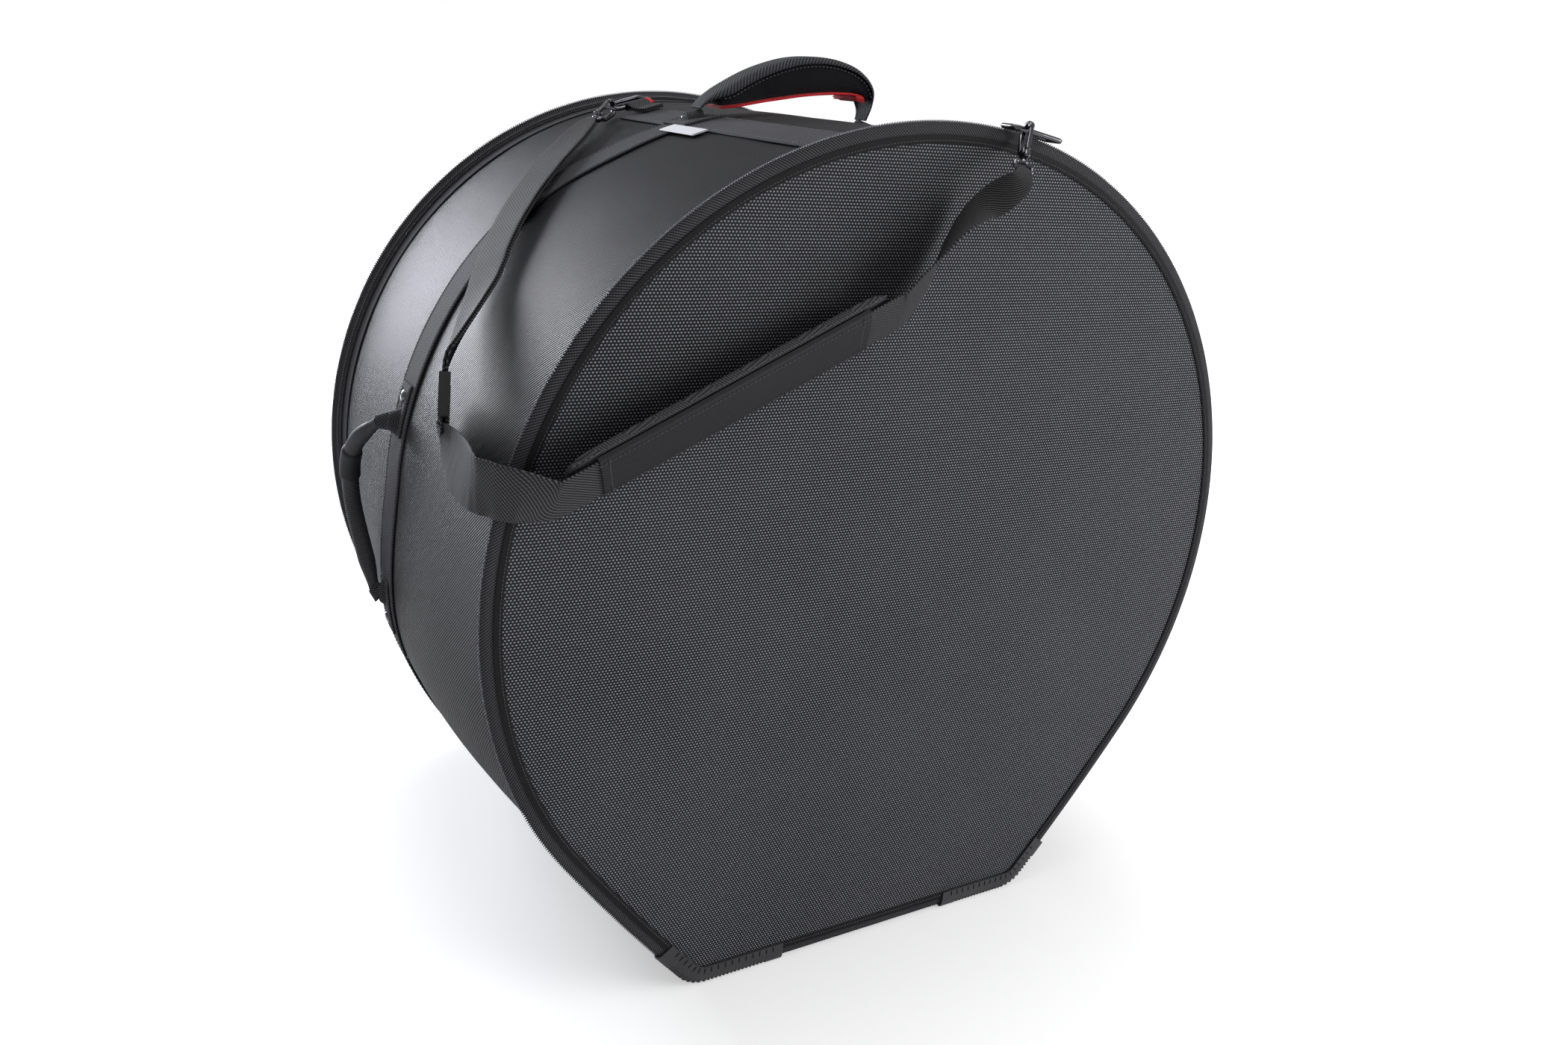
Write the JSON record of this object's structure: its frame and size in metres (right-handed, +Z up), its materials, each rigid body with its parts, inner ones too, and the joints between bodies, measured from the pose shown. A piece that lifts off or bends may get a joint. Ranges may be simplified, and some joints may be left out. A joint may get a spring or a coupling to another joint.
{
  "type": "padded bass drum bag",
  "caption": "Padded round bag for a bass drum, with a zipped lid, padded handles, corner guards and a clip-on shoulder strap with a pad.",
  "frame": {"origin": "centre of the bag's bounding box on the floor that it stands on", "axes": "+Z up, +Y from the round front panel towards the zipped lid along the drum's axis, +X to the right as the front panel is seen"},
  "size_m": [0.7004, 0.5004, 0.6935],
  "materials": {
    "panel_cloth": "matte",
    "wall_cloth": "matte",
    "foam": "matte",
    "lining_cloth": "matte",
    "binding": "matte",
    "web": "matte",
    "handle_cloth": "matte",
    "pad_cloth": "matte",
    "red_mesh": "matte",
    "white_label": "matte",
    "coil_plastic": "satin",
    "guard_plastic": "satin",
    "dark_metal": "polished"
  },
  "bodies": {
    "bag": {"front_panel": "panel_cloth", "front_padding": "foam", "front_lining": "lining_cloth", "side_wall": "wall_cloth", "side_padding": "foam", "side_lining": "lining_cloth", "front_binding": "binding", "lid_hinge_strip": "web", "zip_tape_body": "web", "zip_coil_body": "coil_plastic", "corner_guard_front_left": "guard_plastic", "corner_guard_front_right": "guard_plastic", "centre_web": "web", "cross_web_left": "web", "cross_web_right": "web", "handle_foot_left": "web", "handle_foot_right": "web", "side_handle_left_tab_top": "web", "side_handle_left_tab_bottom": "web", "side_handle_right_tab_top": "web", "side_handle_right_tab_bottom": "web", "ring_loop_front": "web", "ring_loop_back": "web", "red_tag": "red_mesh", "hook_front_eye": "dark_metal", "hook_back_eye": "dark_metal", "strap_upper": "web", "strap_lower": "web", "strap_tail": "web", "strap_short": "web", "white_label": "white_label"},
    "lid": {"lid_panel": "wall_cloth", "lid_padding": "foam", "lid_lining": "lining_cloth", "lid_rim": "wall_cloth", "back_binding": "binding", "zip_tape_lid": "web", "zip_coil_lid": "coil_plastic", "corner_guard_back_left": "guard_plastic", "corner_guard_back_right": "guard_plastic"},
    "zip_slider_left": {"zip_slider_left": "dark_metal"},
    "zip_slider_right": {"zip_slider_right": "dark_metal"},
    "zip_pull_left": {"zip_pull_left": "dark_metal"},
    "zip_pull_right": {"zip_pull_right": "dark_metal"},
    "top_handle": {"top_handle_web": "web", "top_handle_pad": "handle_cloth", "top_handle_lining": "red_mesh"},
    "side_handle_left": {"side_handle_left_grip": "web", "side_handle_left_cover": "handle_cloth"},
    "side_handle_right": {"side_handle_right_grip": "web", "side_handle_right_cover": "handle_cloth"},
    "ring_front": {"ring_front": "dark_metal"},
    "ring_back": {"ring_back": "dark_metal"},
    "hook_front": {"hook_front": "dark_metal"},
    "hook_back": {"hook_back": "dark_metal"},
    "hook_front_gate": {"hook_front_gate": "dark_metal"},
    "hook_back_gate": {"hook_back_gate": "dark_metal"},
    "strap_slider": {"strap_slider": "guard_plastic"},
    "shoulder_pad": {"shoulder_pad": "pad_cloth", "pad_sleeve": "web"}
  },
  "joints": [
    {"name": "lid_hinge", "type": "hinge", "parent": "bag", "child": "lid", "pos_m": [0, 0.2341, 0.0103], "axis": [-1, 0, 0], "range_deg": [0, 90]},
    {"name": "zip_run_left", "type": "hinge", "parent": "bag", "child": "zip_slider_left", "pos_m": [0.00003, 0.2341, 0.3266], "axis": [0, 1, 0], "range_deg": [-229, 0]},
    {"name": "zip_run_right", "type": "hinge", "parent": "bag", "child": "zip_slider_right", "pos_m": [0.00003, 0.2341, 0.3266], "axis": [0, 1, 0], "range_deg": [0, 12]},
    {"name": "zip_pull_left_swing", "type": "hinge", "parent": "zip_slider_left", "child": "zip_pull_left", "pos_m": [0.31594, 0.2341, 0.24464], "axis": [0, -1, 0], "range_deg": [-12, 110]},
    {"name": "zip_pull_right_swing", "type": "hinge", "parent": "zip_slider_right", "child": "zip_pull_right", "pos_m": [0.30035, 0.2341, 0.19885], "axis": [0, -1, 0], "range_deg": [-12, 110]},
    {"name": "top_handle_tilt", "type": "hinge", "parent": "bag", "child": "top_handle", "pos_m": [0.00003, 0.0316, 0.63989], "axis": [1, 0, 0], "range_deg": [-16, 16], "stiffness_Nm_per_rad": 0.6},
    {"name": "side_handle_left_lift", "type": "hinge", "parent": "bag", "child": "side_handle_left", "pos_m": [-0.32168, 0.0506, 0.32799], "axis": [0.0948, 0, 0.9955], "range_deg": [0, 50], "stiffness_Nm_per_rad": 0.3},
    {"name": "side_handle_right_lift", "type": "hinge", "parent": "bag", "child": "side_handle_right", "pos_m": [0.32174, 0.0506, 0.32799], "axis": [0.0948, 0, -0.9955], "range_deg": [0, 50], "stiffness_Nm_per_rad": 0.3},
    {"name": "ring_front_swing", "type": "hinge", "parent": "bag", "child": "ring_front", "pos_m": [0.06602, -0.1964, 0.65096], "axis": [0.9704, -0.1392, -0.1974], "range_deg": [-1.2, 2]},
    {"name": "ring_back_swing", "type": "hinge", "parent": "bag", "child": "ring_back", "pos_m": [-0.08079, 0.1481, 0.64366], "axis": [0.9216, 0.309, 0.2349], "range_deg": [-4, 4]},
    {"name": "hook_front_swivel", "type": "hinge", "parent": "bag", "child": "hook_front", "pos_m": [0.03643, -0.23474, 0.63207], "axis": [0.4999, 0.6199, 0.6049], "range_deg": [-15, 15]},
    {"name": "hook_back_swivel", "type": "hinge", "parent": "bag", "child": "hook_back", "pos_m": [-0.12552, 0.12812, 0.63114], "axis": [0.6966, 0.6706, 0.2552], "range_deg": [-10, 10]},
    {"name": "hook_front_gate_push", "type": "hinge", "parent": "hook_front", "child": "hook_front_gate", "pos_m": [0.04218, -0.22992, 0.64139], "axis": [-0.8661, 0.3574, 0.3495], "range_deg": [0, 21], "stiffness_Nm_per_rad": 0.02},
    {"name": "hook_back_gate_push", "type": "hinge", "parent": "hook_back", "child": "hook_back_gate", "pos_m": [-0.1185, 0.13566, 0.63722], "axis": [-0.6516, 0.7401, -0.1661], "range_deg": [0, 21], "stiffness_Nm_per_rad": 0.02},
    {"name": "strap_slider_slide", "type": "slide", "parent": "bag", "child": "strap_slider", "axis": [-0.1621, -0.3975, -0.9032], "range_m": [-0.003, 0.002]},
    {"name": "shoulder_pad_slide", "type": "slide", "parent": "bag", "child": "shoulder_pad", "axis": [0.9078, 0, 0.4194], "range_m": [-0.01, 0.01]}
  ]
}
